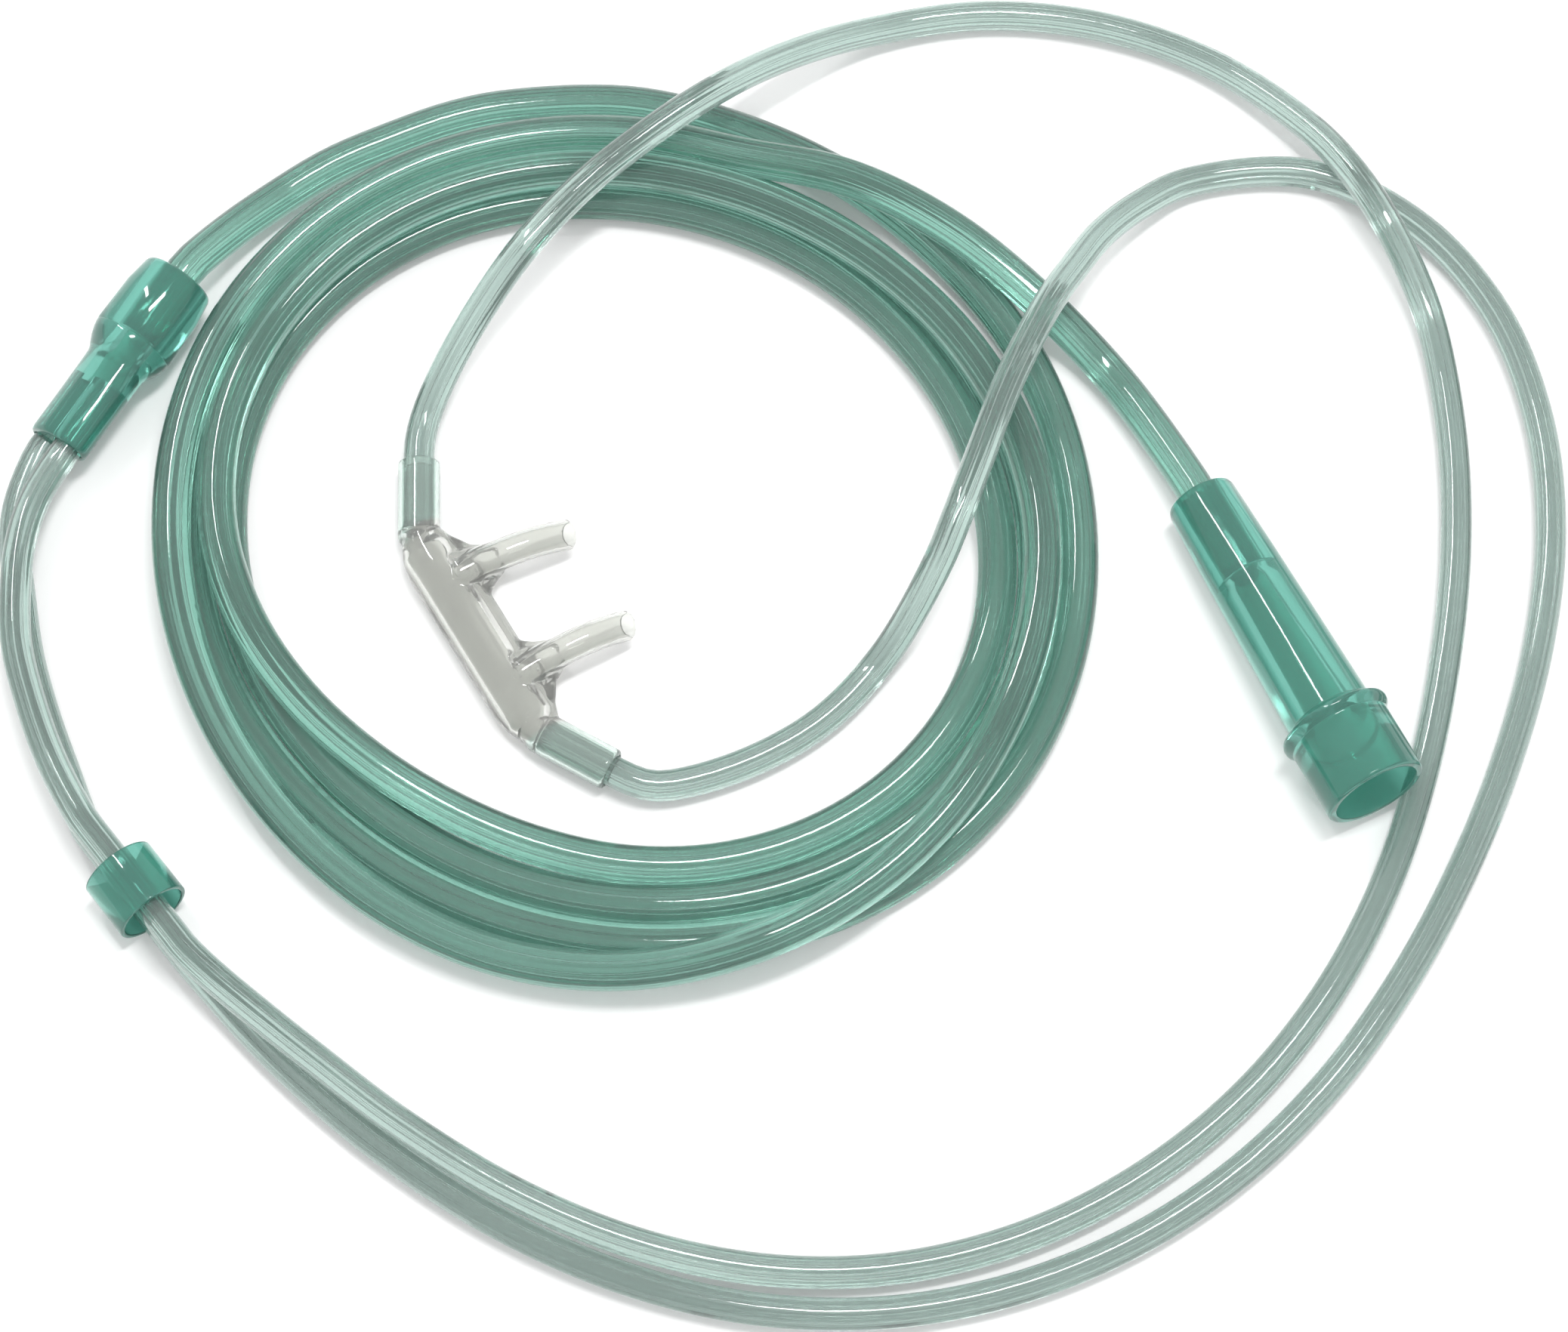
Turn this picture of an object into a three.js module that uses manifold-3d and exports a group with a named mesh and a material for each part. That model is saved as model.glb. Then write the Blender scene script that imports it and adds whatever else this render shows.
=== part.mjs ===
// A nasal oxygen cannula, laid out on a table as it comes from its packet: a clear facepiece with
// two prongs, two ear tubes that run from its ends through a sliding ring to a Y connector, and a
// thicker supply tube that is wound into a coil and ends in a flared connector.
// Millimetres, +Z up, the table at z = 0. Fittings are modelled along +X and then laid in place.
import * as THREE from 'three';
import { mergeVertices } from 'three/addons/utils/BufferGeometryUtils.js';
import Module from 'manifold-3d';

const wasm = await Module();
wasm.setup();

// Tubing and the room it needs
const EAR_TUBE_OD = 5.0;
const SUPPLY_TUBE_OD = 6.3;
const SOCKET_CLEARANCE = 0.2;
const TOUCH_GAP = 0.3;
const EAR_BORE_R = EAR_TUBE_OD / 2 + SOCKET_CLEARANCE;
const SUPPLY_BORE_R = SUPPLY_TUBE_OD / 2 + SOCKET_CLEARANCE;
const EAR_TUBE_SIDES = 10;
const EAR_TUBE_STEPS = 80;
const SUPPLY_TUBE_SIDES = 12;
const TUBE_LEAD = 2.5;
const ROUND = 32;

// Facepiece: a D-shaped channel between two angled sleeves, with two curved prongs
const BODY_LENGTH = 39;
const BODY_HALF_WIDTH = 5.0;
const BODY_HALF_HEIGHT = 3.8;
const BODY_AXIS_Z = 3.3;
const SLEEVE_LENGTH = 13;
const SLEEVE_WALL = 0.7;
const SLEEVE_ANGLE = THREE.MathUtils.degToRad(29.5);
const SLEEVE_SOCKET = 12.4;
const CHANNEL_R = 2.1;
const PRONG_SPACING = 19.8;
const PRONG_LENGTH = 18.6;
const PRONG_ROOT_R = 3.3;
const PRONG_TIP_R = 2.5;
const PRONG_WALL = 0.6;
const PRONG_START_Y = 3.0;
const PRONG_AXIS_Z = 4.2;
const PRONG_RISE = THREE.MathUtils.degToRad(26);
const PRONG_FALL = THREE.MathUtils.degToRad(30);
const PRONG_LEANS = [8.1, 3.4].map(THREE.MathUtils.degToRad);
const WEB_REACH = 5.6;
const WEB_HALF_HEIGHT = 1.4;

// Supply connector: a long barrel that flares to a thumb flange and a wide mouth
const CONNECTOR_LENGTH = 58;
const CONNECTOR_INLET_R = 5.75;
const CONNECTOR_BARREL_R = 7.05;
const FLANGE_START = 44;
const FLANGE_WIDTH = 2.0;
const FLANGE_R = 9.1;
const COLLAR_R = 8.25;
const MOUTH_R = 6.9;
const RECESS_DEPTH = 12.5;
const GRIP_BORE_R = 3.4;
const SUPPLY_SOCKET = 16;
const SUPPLY_STOP_R = 2.4;

// Y connector: a round barrel for the supply tube, then an oval one for the two ear tubes
const Y_LENGTH = 34;
const Y_BARREL_R = 6.9;
const Y_BARREL_END_R = 6.1;
const Y_BARREL_LENGTH = 13.5;
const Y_TAPER_LENGTH = 5.5;
const Y_OVAL_HALF_WIDTH = 6.3;
const Y_OVAL_HALF_HEIGHT = 4.4;
const Y_BORE_SPACING = 6.0;
const Y_SUPPLY_SOCKET = 12;
const Y_EAR_SOCKET = 12;

// Slider: a short ring round both ear tubes, one tube lying on the other
const SLIDER_LENGTH = 9.5;
const SLIDER_R = 6.0;
const SLIDER_STACK = EAR_TUBE_OD + 0.1;
const SLIDER_BORE_R = (SLIDER_STACK + EAR_TUBE_OD) / 2 + SOCKET_CLEARANCE;
const SLIDER_EDGE = 0.25;
const SLIDER_TRAVEL = 6;

// The coil of supply tube, as one ring
const COIL_INNER_R = 52.3;
const COIL_OUTER_R = 78.4;
const COIL_HEIGHT = 13.2;
const COIL_CORNER = 3.0;
const COIL_CENTRE = [-24.5, 21.0];

// Where each fitting lies on the table: its near end, heading, tilt and roll
const radians = THREE.MathUtils.degToRad;
const FACEPIECE_PLACE = { at: [-48.25, 4.2, 0], heading: radians(-59), tilt: 0, roll: 0 };
const CONNECTOR_TILT = Math.asin((FLANGE_R - CONNECTOR_INLET_R) / FLANGE_START);
const CONNECTOR_PLACE = {
  at: [66.3, 26.8, CONNECTOR_INLET_R * Math.cos(CONNECTOR_TILT)],
  heading: radians(-64.2), tilt: CONNECTOR_TILT, roll: 0,
};
const Y_TILT = radians(-4.5);
const Y_REST = Y_BARREL_R * Math.cos(Y_TILT) - Y_BARREL_LENGTH * Math.sin(Y_TILT);
const Y_PLACE = { at: [-98.1, 64.6, Y_REST], heading: radians(-123), tilt: Y_TILT, roll: radians(38) };
const SLIDER_PLACE = { at: [-99.9, -39.6, SLIDER_R], heading: radians(-51.5), tilt: 0, roll: 0 };

// Turns a place into the matrix that lays a fitting there. A positive tilt lifts the +X end.
function matrixOf(place) {
  const turn = new THREE.Euler(place.roll, -place.tilt, place.heading, 'ZYX');
  const matrix = new THREE.Matrix4().makeRotationFromEuler(turn);
  return matrix.setPosition(...place.at);
}

// A point given in a fitting's own frame, on the table
function pointOn(place, x, y = 0, z = 0) {
  return new THREE.Vector3(x, y, z).applyMatrix4(matrixOf(place));
}

// Closed solids from rings of points, with a flat cap on each end
function skin(rings) {
  const sides = rings[0].length;
  const positions = [];
  rings.forEach((ring) => ring.forEach((p) => positions.push(p.x, p.y, p.z)));
  const index = [];
  for (let i = 0; i < rings.length - 1; i += 1) {
    for (let k = 0; k < sides; k += 1) {
      const a = i * sides + k;
      const b = i * sides + ((k + 1) % sides);
      index.push(a, b, a + sides, b, b + sides, a + sides);
    }
  }
  const last = (rings.length - 1) * sides;
  for (let k = 1; k < sides - 1; k += 1) {
    index.push(0, k + 1, k);
    index.push(last, last + k, last + k + 1);
  }
  const geometry = new THREE.BufferGeometry();
  geometry.setAttribute('position', new THREE.Float32BufferAttribute(positions, 3));
  geometry.setIndex(index);
  return geometry;
}

// A bar along X whose oval section changes from one station to the next
function loft(stations, sides = ROUND) {
  const rings = stations.map(({ x, halfWidth, halfHeight, y = 0, z = 0 }) => {
    const ring = [];
    for (let k = 0; k < sides; k += 1) {
      const angle = (2 * Math.PI * k) / sides;
      ring.push(new THREE.Vector3(x, y + halfWidth * Math.cos(angle), z + halfHeight * Math.sin(angle)));
    }
    return ring;
  });
  return skin(rings);
}

// A round bar that follows points, with a radius at each of them
function sweep(points, radii, sides = 20) {
  const up = new THREE.Vector3(0, 0, 1);
  const rings = points.map((point, i) => {
    const before = points[Math.max(i - 1, 0)];
    const after = points[Math.min(i + 1, points.length - 1)];
    const along = after.clone().sub(before).normalize();
    const across = new THREE.Vector3().crossVectors(up, along).normalize();
    const rise = new THREE.Vector3().crossVectors(along, across);
    const ring = [];
    for (let k = 0; k < sides; k += 1) {
      const angle = (2 * Math.PI * k) / sides;
      ring.push(point.clone()
        .addScaledVector(across, radii[i] * Math.cos(angle))
        .addScaledVector(rise, radii[i] * Math.sin(angle)));
    }
    return ring;
  });
  return skin(rings);
}

// A turned piece along X, from a closed outline of [radius, distance along] pairs
function turned(outline, sides = ROUND) {
  const points = [...outline, outline[0]].map(([r, x]) => new THREE.Vector2(r, x));
  return new THREE.LatheGeometry(points, sides).rotateZ(-Math.PI / 2);
}

// A plain round bar along X, used to bore holes
function rod(radius, from, to, y = 0, z = 0, sides = ROUND) {
  const stations = [from, to].map((x) => ({ x, halfWidth: radius, halfHeight: radius, y, z }));
  return loft(stations, sides);
}

// Booleans between closed geometries
function solid(geometry) {
  let merged = geometry.clone();
  merged.deleteAttribute('normal');
  merged.deleteAttribute('uv');
  merged = mergeVertices(merged, 1e-4);
  return new wasm.Manifold(new wasm.Mesh({
    numProp: 3,
    vertProperties: new Float32Array(merged.attributes.position.array),
    triVerts: new Uint32Array(merged.index.array),
  }));
}

function combine(added, cut) {
  let body = solid(added[0]);
  added.slice(1).forEach((geometry) => {
    body = body.add(solid(geometry));
  });
  cut.forEach((geometry) => {
    body = body.subtract(solid(geometry));
  });
  const mesh = body.getMesh();
  const geometry = new THREE.BufferGeometry();
  geometry.setAttribute('position', new THREE.BufferAttribute(new Float32Array(mesh.vertProperties), 3));
  geometry.setIndex(new THREE.BufferAttribute(new Uint32Array(mesh.triVerts), 1));
  geometry.computeVertexNormals();
  return geometry;
}

// Soft clear PVC for the facepiece, green-tinted PVC for the rest
const CLEAR = { color: 0xb9bbb6, roughness: 0.15, metalness: 0 };
const PALE_GREEN = { color: 0xa6c0b4, roughness: 0.2, metalness: 0 };
const DEEP_GREEN = { color: 0x3f8a74, roughness: 0.2, metalness: 0 };

const table = new THREE.Group();

function lay(name, geometry, finish, place = null) {
  const mesh = new THREE.Mesh(geometry, new THREE.MeshStandardMaterial(finish));
  mesh.name = name;
  if (place) {
    mesh.rotation.set(place.roll, -place.tilt, place.heading, 'ZYX');
    mesh.position.set(...place.at);
  }
  table.add(mesh);
  return mesh;
}

// Facepiece. Its own +Y points the way the prongs do, and it is the same at both ends.
function sleeveLine(side) {
  const start = new THREE.Vector3(side * BODY_LENGTH / 2, 0, BODY_AXIS_Z);
  const along = new THREE.Vector3(side * Math.cos(SLEEVE_ANGLE), Math.sin(SLEEVE_ANGLE), 0);
  return { start, along };
}

function prongLine(side, lean) {
  const steps = 9;
  const point = new THREE.Vector3(side * PRONG_SPACING / 2, PRONG_START_Y, PRONG_AXIS_Z);
  const points = [point.clone()];
  for (let i = 0; i < steps; i += 1) {
    const slope = THREE.MathUtils.lerp(PRONG_RISE, -PRONG_FALL, (i + 0.5) / steps);
    point.x += (PRONG_LENGTH / steps) * Math.cos(slope) * Math.sin(lean);
    point.y += (PRONG_LENGTH / steps) * Math.cos(slope) * Math.cos(lean);
    point.z += (PRONG_LENGTH / steps) * Math.sin(slope);
    points.push(point.clone());
  }
  return points;
}

function facepieceGeometry() {
  const half = BODY_LENGTH / 2;
  const sleeveR = EAR_BORE_R + SLEEVE_WALL;
  const body = loft([
    { x: -half - 1, halfWidth: sleeveR * 0.8, halfHeight: sleeveR * 0.8, y: 0.4, z: BODY_AXIS_Z },
    { x: -half, halfWidth: sleeveR, halfHeight: sleeveR, y: 0.2, z: BODY_AXIS_Z },
    { x: -half + 5, halfWidth: BODY_HALF_WIDTH, halfHeight: BODY_HALF_HEIGHT, z: BODY_AXIS_Z },
    { x: half - 5, halfWidth: BODY_HALF_WIDTH, halfHeight: BODY_HALF_HEIGHT, z: BODY_AXIS_Z },
    { x: half, halfWidth: sleeveR, halfHeight: sleeveR, y: 0.2, z: BODY_AXIS_Z },
    { x: half + 1, halfWidth: sleeveR * 0.8, halfHeight: sleeveR * 0.8, y: 0.4, z: BODY_AXIS_Z },
  ]);
  const webEnd = half - 1.5;
  const web = loft([
    { x: -webEnd, halfWidth: 1.0, halfHeight: WEB_HALF_HEIGHT * 0.7, y: 2.0, z: PRONG_AXIS_Z },
    { x: -PRONG_SPACING / 2 - 3, halfWidth: 2.6, halfHeight: WEB_HALF_HEIGHT, y: WEB_REACH - 2.6, z: PRONG_AXIS_Z },
    { x: -PRONG_SPACING / 2 + 4, halfWidth: 2.4, halfHeight: WEB_HALF_HEIGHT, y: WEB_REACH - 3.0, z: PRONG_AXIS_Z },
    { x: 0, halfWidth: 1.4, halfHeight: WEB_HALF_HEIGHT, y: BODY_HALF_WIDTH - 2.6, z: PRONG_AXIS_Z },
    { x: PRONG_SPACING / 2 - 4, halfWidth: 2.4, halfHeight: WEB_HALF_HEIGHT, y: WEB_REACH - 3.0, z: PRONG_AXIS_Z },
    { x: PRONG_SPACING / 2 + 3, halfWidth: 2.6, halfHeight: WEB_HALF_HEIGHT, y: WEB_REACH - 2.6, z: PRONG_AXIS_Z },
    { x: webEnd, halfWidth: 1.0, halfHeight: WEB_HALF_HEIGHT * 0.7, y: 2.0, z: PRONG_AXIS_Z },
  ], 16);
  const added = [body, web];
  const cut = [rod(CHANNEL_R, -half + 1.2, half - 1.2, 0, BODY_AXIS_Z, 20)];
  [-1, 1].forEach((side, i) => {
    const { start, along } = sleeveLine(side);
    const end = start.clone().addScaledVector(along, SLEEVE_LENGTH);
    const stop = end.clone().addScaledVector(along, -SLEEVE_SOCKET);
    added.push(sweep([start, end], [sleeveR, sleeveR], 24));
    added.push(new THREE.SphereGeometry(sleeveR, 24, 12).rotateX(Math.PI / 2).translate(...start));
    cut.push(sweep([stop, end.clone().add(along)], [EAR_BORE_R, EAR_BORE_R], 24));
    const inner = start.clone().addScaledVector(along, -0.6);
    cut.push(sweep([inner, stop.clone().add(along)], [CHANNEL_R, CHANNEL_R], 20));
    cut.push(new THREE.SphereGeometry(CHANNEL_R, 20, 10).rotateX(Math.PI / 2).translate(...start));
    const line = prongLine(side, PRONG_LEANS[i]);
    const outer = line.map((_, k) => {
      const share = Math.min(k / 3, 1);
      return THREE.MathUtils.lerp(PRONG_ROOT_R, PRONG_TIP_R, share);
    });
    added.push(sweep(line, outer, 24));
    const tip = line[line.length - 1].clone().multiplyScalar(2).sub(line[line.length - 2]);
    const boreR = PRONG_TIP_R - PRONG_WALL;
    const bore = [new THREE.Vector3(line[0].x, 0, BODY_AXIS_Z), ...line.slice(1), tip];
    cut.push(sweep(bore, bore.map(() => boreR), 20));
  });
  const below = new THREE.BoxGeometry(4 * BODY_LENGTH, 4 * BODY_LENGTH, 4);
  below.translate(0, 0, -2);
  return combine(added, [below, ...cut]);
}

// Y connector. Its +X runs from the supply tube's end to the ear tubes' end.
function yConnectorGeometry() {
  const round = (x, r) => ({ x, halfWidth: r, halfHeight: r });
  const oval = (x, grow = 0) => ({
    x, halfWidth: Y_OVAL_HALF_WIDTH + grow, halfHeight: Y_OVAL_HALF_HEIGHT + grow,
  });
  const taperEnd = Y_BARREL_LENGTH + Y_TAPER_LENGTH;
  const outside = loft([
    round(0, Y_BARREL_END_R - 0.6),
    round(0.6, Y_BARREL_END_R),
    round(5, Y_BARREL_R - 0.1),
    round(Y_BARREL_LENGTH, Y_BARREL_R),
    { x: Y_BARREL_LENGTH + 2, halfWidth: 6.6, halfHeight: 6.0 },
    { x: taperEnd - 1.2, halfWidth: Y_OVAL_HALF_WIDTH, halfHeight: Y_OVAL_HALF_HEIGHT + 0.4 },
    oval(taperEnd),
    oval(Y_LENGTH - 0.5),
    oval(Y_LENGTH, -0.4),
  ]);
  const chamber = loft([
    { x: Y_SUPPLY_SOCKET - 1, halfWidth: 2.2, halfHeight: 2.2 },
    { x: Y_BARREL_LENGTH + 2, halfWidth: 3.2, halfHeight: 2.0 },
    { x: Y_LENGTH - Y_EAR_SOCKET + 1, halfWidth: Y_BORE_SPACING / 2 + 1.6, halfHeight: 1.8 },
  ]);
  const cut = [rod(SUPPLY_BORE_R, -1, Y_SUPPLY_SOCKET), chamber];
  [-1, 1].forEach((side) => {
    const y = side * Y_BORE_SPACING / 2;
    cut.push(rod(EAR_BORE_R, Y_LENGTH - Y_EAR_SOCKET, Y_LENGTH + 1, y, 0, 24));
  });
  return combine([outside], cut);
}

// Supply connector. Its +X runs from the supply tube's end to the wide mouth.
function supplyConnectorGeometry() {
  const flangeEnd = FLANGE_START + FLANGE_WIDTH;
  const recess = CONNECTOR_LENGTH - RECESS_DEPTH;
  return turned([
    [SUPPLY_BORE_R, 0],
    [CONNECTOR_INLET_R - 1.0, 0],
    [CONNECTOR_INLET_R - 0.25, 0.35],
    [CONNECTOR_INLET_R, 1.2],
    [CONNECTOR_BARREL_R, FLANGE_START - 0.8],
    [FLANGE_R - 0.6, FLANGE_START],
    [FLANGE_R, FLANGE_START + 0.7],
    [FLANGE_R - 0.1, flangeEnd - 0.4],
    [COLLAR_R, flangeEnd + 0.3],
    [COLLAR_R, CONNECTOR_LENGTH - 0.3],
    [COLLAR_R - 0.2, CONNECTOR_LENGTH],
    [MOUTH_R, CONNECTOR_LENGTH],
    [MOUTH_R - 0.3, recess],
    [GRIP_BORE_R, recess - 2.5],
    [GRIP_BORE_R - 0.3, SUPPLY_SOCKET + 2.5],
    [SUPPLY_STOP_R, SUPPLY_SOCKET + 1],
    [SUPPLY_STOP_R, SUPPLY_SOCKET],
    [SUPPLY_BORE_R, SUPPLY_SOCKET],
  ]);
}

// Slider ring
function sliderGeometry() {
  const half = SLIDER_LENGTH / 2;
  return turned([
    [SLIDER_BORE_R, -half + SLIDER_EDGE],
    [SLIDER_BORE_R + SLIDER_EDGE, -half],
    [SLIDER_R - SLIDER_EDGE, -half],
    [SLIDER_R, -half + SLIDER_EDGE],
    [SLIDER_R, half - SLIDER_EDGE],
    [SLIDER_R - SLIDER_EDGE, half],
    [SLIDER_BORE_R + SLIDER_EDGE, half],
    [SLIDER_BORE_R, half - SLIDER_EDGE],
  ]);
}

// The coil: a ring with rounded corners, standing on the table
function coilGeometry() {
  const outline = [
    [COIL_INNER_R + COIL_CORNER, 0],
    [COIL_OUTER_R - COIL_CORNER, 0],
    [COIL_OUTER_R - 0.8, 0.9],
    [COIL_OUTER_R, COIL_CORNER],
    [COIL_OUTER_R, COIL_HEIGHT - COIL_CORNER],
    [COIL_OUTER_R - COIL_CORNER, COIL_HEIGHT],
    [COIL_INNER_R + COIL_CORNER, COIL_HEIGHT],
    [COIL_INNER_R, COIL_HEIGHT - COIL_CORNER],
    [COIL_INNER_R, COIL_CORNER],
    [COIL_INNER_R + 0.8, 0.9],
  ];
  const points = [...outline, outline[0]].map(([r, z]) => new THREE.Vector2(r, z));
  return new THREE.LatheGeometry(points, 72).rotateX(Math.PI / 2);
}

// Where a tube leaves its socket: a straight run from its hidden end past the socket's mouth
function straightRun(place, start, along, hidden, mouth) {
  return [hidden, (hidden + mouth) / 2, mouth, mouth + TUBE_LEAD].map((distance) => {
    const p = start.clone().addScaledVector(along, distance);
    return pointOn(place, p.x, p.y, p.z);
  });
}

function sleeveRun(side) {
  const { start, along } = sleeveLine(side);
  return straightRun(FACEPIECE_PLACE, start, along, SLEEVE_LENGTH - SLEEVE_SOCKET + TOUCH_GAP, SLEEVE_LENGTH);
}

function yEarRun(side) {
  const start = new THREE.Vector3(0, side * Y_BORE_SPACING / 2, 0);
  return straightRun(Y_PLACE, start, new THREE.Vector3(1, 0, 0), Y_LENGTH - Y_EAR_SOCKET + TOUCH_GAP, Y_LENGTH);
}

function inletRun(place, depth) {
  const start = new THREE.Vector3(depth - TOUCH_GAP, 0, 0);
  return straightRun(place, start, new THREE.Vector3(-1, 0, 0), 0, depth - TOUCH_GAP);
}

// The straight run through the slider, long enough for its travel both ways
function sliderRun(level) {
  const straight = SLIDER_TRAVEL + SLIDER_LENGTH / 2;
  const z = level * SLIDER_STACK / 2;
  return [-straight - TUBE_LEAD, -straight, straight, straight + TUBE_LEAD].map((x) => pointOn(SLIDER_PLACE, x, 0, z));
}

// Routes over the table, chosen by hand
const LEFT_EAR_ROUTE = [
  [-57.9, 41.4, 3.6], [-55.2, 47.8, 5.8], [-49.6, 56.1, 11.3], [-42.1, 65.6, 16.2],
  [-33.1, 76.3, 16.8], [-22.4, 86.2, 16.7], [-11.0, 94.8, 16.5], [0.5, 104.1, 11.0],
  [13.6, 112.3, 4.3], [33.3, 116.5, 2.7], [53.3, 114.4, 2.7], [71.7, 106.9, 3.0],
  [86.7, 93.4, 6.2], [92.6, 85.1, 7.9], [97.5, 76.6, 7.9], [102.2, 67.3, 5.4],
  [105.3, 58.4, 3.4], [107.7, 38.8, 2.6], [107.2, 18.8, 2.6], [104.3, -1.0, 2.6],
  [99.5, -20.5, 2.6], [92.5, -39.1, 2.6], [82.7, -56.4, 2.6], [69.9, -71.8, 2.6],
  [54.2, -84.4, 2.6], [36.4, -93.5, 2.6], [17.1, -98.4, 2.6], [-2.7, -98.8, 3.0],
  [-22.3, -94.9, 3.9], [-41.0, -87.2, 5.0], [-58.2, -76.8, 6.3], [-70.9, -67.3, 7.4],
  [-80.3, -59.9, 8.1], [-87.3, -54.1, 8.5],
];
const LEFT_EAR_TO_Y = [
  [-113.6, -19.5, 7.9], [-117.8, -9.0, 7.8], [-120.6, 1.0, 7.9], [-121.3, 11.0, 7.9],
  [-120.9, 18.5, 7.9], [-119.3, 25.5, 7.5],
];
const RIGHT_EAR_ROUTE = [
  [-20.4, -21.4, 3.0], [-14.0, -20.4, 2.7], [-3.1, -16.2, 2.6], [6.9, -9.6, 2.6],
  [16.2, 0.8, 3.8], [24.1, 11.9, 13.8], [27.2, 19.0, 16.3], [30.2, 27.1, 16.6],
  [35.7, 42.1, 16.7], [41.9, 55.3, 16.5], [46.7, 64.1, 12.8], [51.9, 72.7, 8.5],
  [58.8, 79.9, 5.0], [67.2, 85.2, 2.7], [87.1, 86.6, 2.6], [104.3, 77.0, 2.6],
  [116.2, 60.9, 2.6], [121.9, 41.6, 2.6], [122.5, 21.5, 2.6], [119.2, 1.8, 2.6],
  [113.1, -17.3, 2.6], [105.0, -35.7, 2.6], [95.1, -53.2, 2.6], [83.3, -69.3, 2.6],
  [69.0, -83.3, 2.6], [52.2, -94.4, 2.6], [33.5, -101.9, 2.6], [13.7, -105.3, 2.6],
  [-6.1, -104.4, 2.6], [-25.5, -99.4, 2.6], [-43.8, -91.0, 2.6], [-60.7, -79.9, 2.6],
  [-73.1, -69.6, 2.9], [-81.7, -61.2, 3.2], [-87.7, -54.5, 3.4],
];
const RIGHT_EAR_TO_Y = [
  [-112.6, -18.7, 2.8], [-116.4, -9.0, 2.6], [-119.5, 1.0, 2.6], [-121.5, 11.5, 2.7],
  [-122.8, 19.5, 2.8], [-122.6, 26.5, 3.0],
];
const SUPPLY_INLET_ROUTE = [
  [-90.6, 74.4, 5.6], [-83.9, 80.9, 3.9], [-74.6, 87.8, 3.3], [-64.9, 92.6, 3.15],
];
const SUPPLY_OUTLET_ROUTE = [
  [53.0, 49.6, 3.15], [57.8, 42.4, 3.7],
];

// A tube as one plain solid along its centreline
function tubeGeometry(points, diameter, sides, steps) {
  const section = new THREE.Shape();
  for (let k = 0; k < sides; k += 1) {
    const angle = (2 * Math.PI * k) / sides;
    const x = (diameter / 2) * Math.cos(angle);
    const y = (diameter / 2) * Math.sin(angle);
    if (k === 0) {
      section.moveTo(x, y);
    } else {
      section.lineTo(x, y);
    }
  }
  section.closePath();
  const path = new THREE.CatmullRomCurve3(points);
  return new THREE.ExtrudeGeometry(section, { steps, extrudePath: path });
}

const toVectors = (route) => route.map((p) => new THREE.Vector3(...p));

const facepiece = lay('facepiece', facepieceGeometry(), CLEAR, FACEPIECE_PLACE);
const yConnector = lay('y_connector', yConnectorGeometry(), DEEP_GREEN, Y_PLACE);
const slider = lay('slider', sliderGeometry(), DEEP_GREEN, SLIDER_PLACE);
const supplyConnector = lay('supply_connector', supplyConnectorGeometry(), DEEP_GREEN, CONNECTOR_PLACE);

const coil = lay('supply_tube_coil', coilGeometry(), PALE_GREEN);
coil.position.set(COIL_CENTRE[0], COIL_CENTRE[1], 0);

const leftEarPoints = [
  ...sleeveRun(-1), ...toVectors(LEFT_EAR_ROUTE), ...sliderRun(1).reverse(),
  ...toVectors(LEFT_EAR_TO_Y), ...yEarRun(1).reverse(),
];
lay('ear_tube_left', tubeGeometry(leftEarPoints, EAR_TUBE_OD, EAR_TUBE_SIDES, EAR_TUBE_STEPS), PALE_GREEN);

const rightEarPoints = [
  ...sleeveRun(1), ...toVectors(RIGHT_EAR_ROUTE), ...sliderRun(-1).reverse(),
  ...toVectors(RIGHT_EAR_TO_Y), ...yEarRun(-1).reverse(),
];
lay('ear_tube_right', tubeGeometry(rightEarPoints, EAR_TUBE_OD, EAR_TUBE_SIDES, EAR_TUBE_STEPS), PALE_GREEN);

const inletPoints = [...inletRun(Y_PLACE, Y_SUPPLY_SOCKET), ...toVectors(SUPPLY_INLET_ROUTE)];
lay('supply_tube_inlet', tubeGeometry(inletPoints, SUPPLY_TUBE_OD, SUPPLY_TUBE_SIDES, 8), PALE_GREEN);

const outletPoints = [
  ...toVectors(SUPPLY_OUTLET_ROUTE), ...inletRun(CONNECTOR_PLACE, SUPPLY_SOCKET).reverse(),
];
lay('supply_tube_outlet', tubeGeometry(outletPoints, SUPPLY_TUBE_OD, SUPPLY_TUBE_SIDES, 8), PALE_GREEN);

// The origin is on the table, under the middle of the four fittings
table.updateMatrixWorld(true);
const box = new THREE.Box3();
[facepiece, yConnector, slider, supplyConnector].forEach((mesh) => box.expandByObject(mesh, true));
const middle = box.getCenter(new THREE.Vector3());
table.position.set(-middle.x, -middle.y, -box.min.z);

const cannula = new THREE.Group();
cannula.add(table);

export default cannula;
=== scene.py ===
import math

import bmesh
import bpy
from mathutils import Matrix, Vector


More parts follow.
